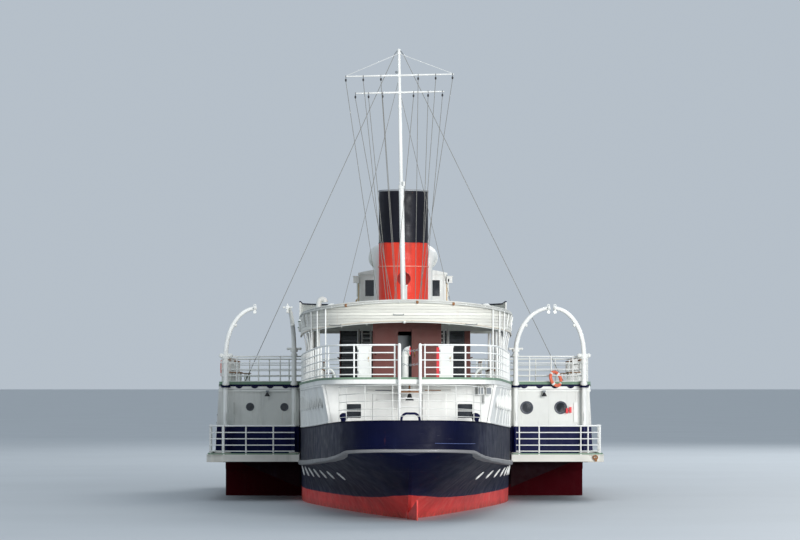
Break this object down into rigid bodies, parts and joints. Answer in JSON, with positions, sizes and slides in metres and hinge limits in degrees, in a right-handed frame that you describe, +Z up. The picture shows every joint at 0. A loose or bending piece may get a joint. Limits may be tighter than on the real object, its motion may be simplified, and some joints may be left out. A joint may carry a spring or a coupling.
{
  "type": "1:2 scale model of a paddle steamer",
  "caption": "Side-wheel excursion steamer afloat, with long hull, sponsons with paddle boxes, promenade deck, canopy, funnel, bridge and mast.",
  "frame": {"origin": "on the waterline amidships, on the centreline, in line with the paddle shaft", "axes": "+X to the bow, +Y to port, +Z up; the waterline is z = 0"},
  "size_m": [29.8, 6.93, 8.4756],
  "materials": {
    "hull_navy": "semi-gloss navy paint, weathered",
    "boot_red": "faded red boot-topping paint",
    "fascia_cream": "dull cream-grey paint",
    "deck_green": "matt green deck paint",
    "white_paint": "gloss white paint with rust runs",
    "brown": "dark brown gloss paint",
    "funnel_red": "gloss red paint, black top",
    "guard_red": "dark red paint, stained",
    "wheel_red": "dull red oxide",
    "shaft_steel": "greased steel"
  },
  "bodies": {
    "ship": {"bollard_port": "hull_navy", "bollard_starboard": "hull_navy", "bridge_deck": "deck_green", "bridge_dodger": "white_paint", "bulwark_aft": "hull_navy", "bulwark_fore": "hull_navy", "canopy": "white_paint", "casing": "brown", "cowl_port": "white_paint", "cowl_promenade": "white_paint", "cowl_small": "white_paint", "cowl_starboard": "white_paint", "deckhouse": "brown", "deckhouse_roof": "brown", "fore_hatch": "brown", "funnel": "funnel_red", "hull": "hull_navy", "locker_port": "white_paint", "locker_starboard": "white_paint", "mast": "white_paint", "paddle_box_port": "white_paint", "paddle_box_rail_port": "white_paint", "paddle_box_rail_starboard": "white_paint", "paddle_box_starboard": "white_paint", "promenade_deck": "deck_green", "promenade_rail_aft_port": "white_paint", "promenade_rail_aft_starboard": "white_paint", "promenade_rail_fore": "white_paint", "rubbing_strake_aft": "fascia_cream", "rubbing_strake_fore": "fascia_cream", "saloon_bulkhead_aft": "white_paint", "saloon_bulkhead_fore": "white_paint", "saloon_side_port": "white_paint", "saloon_side_starboard": "white_paint", "sponson_deck_port": "fascia_cream", "sponson_deck_starboard": "fascia_cream", "sponson_rail_aft_port": "white_paint", "sponson_rail_aft_starboard": "white_paint", "sponson_rail_fore_port": "white_paint", "sponson_rail_fore_starboard": "white_paint", "stern_ladder": "white_paint", "stern_rail": "white_paint", "wheel_guard_port": "guard_red", "wheel_guard_starboard": "guard_red", "wheelhouse": "white_paint", "wheelhouse_roof": "white_paint", "windlass": "hull_navy"},
    "paddle_wheels": {"paddle_shaft": "shaft_steel", "paddle_wheel_port": "wheel_red", "paddle_wheel_starboard": "wheel_red"},
    "rudder_body": {"rudder": "boot_red"},
    "davit_port_outer_body": {"davit_port_outer": "white_paint"},
    "davit_port_inner_body": {"davit_port_inner": "white_paint"},
    "davit_starboard_inner_body": {"davit_starboard_inner": "white_paint"},
    "davit_starboard_outer_body": {"davit_starboard_outer": "white_paint"},
    "deckhouse_door_body": {"deckhouse_door": "brown"},
    "saloon_door_port_body": {"saloon_door_port": "white_paint"},
    "saloon_door_starboard_body": {"saloon_door_starboard": "white_paint"},
    "wheelhouse_door_port_body": {"wheelhouse_door_port": "brown"},
    "wheelhouse_door_starboard_body": {"wheelhouse_door_starboard": "brown"}
  },
  "joints": [
    {"name": "paddle_wheels_turn", "type": "hinge", "parent": "ship", "child": "paddle_wheels", "pos_m": [0, 0, 0.56], "axis": [0, 1, 0], "continuous": true},
    {"name": "rudder_turn", "type": "hinge", "parent": "ship", "child": "rudder_body", "pos_m": [-13.375, 0, 0], "axis": [0, 0, 1], "range_deg": [-45, 25]},
    {"name": "davit_port_outer_swing", "type": "hinge", "parent": "ship", "child": "davit_port_outer_body", "pos_m": [-3.39, 3.165, 0.81], "axis": [0, 0, 1], "range_deg": [-180, 90]},
    {"name": "davit_port_inner_swing", "type": "hinge", "parent": "ship", "child": "davit_port_inner_body", "pos_m": [-3.39, 1.96, 0.81], "axis": [0, 0, 1], "range_deg": [-170, 10]},
    {"name": "davit_starboard_inner_swing", "type": "hinge", "parent": "ship", "child": "davit_starboard_inner_body", "pos_m": [-3.39, -1.96, 0.81], "axis": [0, 0, 1], "range_deg": [-90, 90]},
    {"name": "davit_starboard_outer_swing", "type": "hinge", "parent": "ship", "child": "davit_starboard_outer_body", "pos_m": [-3.39, -3.165, 0.81], "axis": [0, 0, 1], "range_deg": [-90, 180]},
    {"name": "deckhouse_door_slide", "type": "slide", "parent": "ship", "child": "deckhouse_door_body", "axis": [0, 1, 0], "range_m": [-0.1, 0.22]},
    {"name": "saloon_door_port_open", "type": "hinge", "parent": "ship", "child": "saloon_door_port_body", "pos_m": [-12.8105, 0.55, 1.05], "axis": [0, 0, -1], "range_deg": [0, 100]},
    {"name": "saloon_door_starboard_open", "type": "hinge", "parent": "ship", "child": "saloon_door_starboard_body", "pos_m": [-12.8105, -0.55, 1.05], "axis": [0, 0, 1], "range_deg": [0, 100]},
    {"name": "wheelhouse_door_port_open", "type": "hinge", "parent": "ship", "child": "wheelhouse_door_port_body", "pos_m": [2.625, 0.8505, 3.6], "axis": [0, 0, 1], "range_deg": [0, 95]},
    {"name": "wheelhouse_door_starboard_open", "type": "hinge", "parent": "ship", "child": "wheelhouse_door_starboard_body", "pos_m": [2.625, -0.8505, 3.6], "axis": [0, 0, -1], "range_deg": [0, 95]}
  ]
}
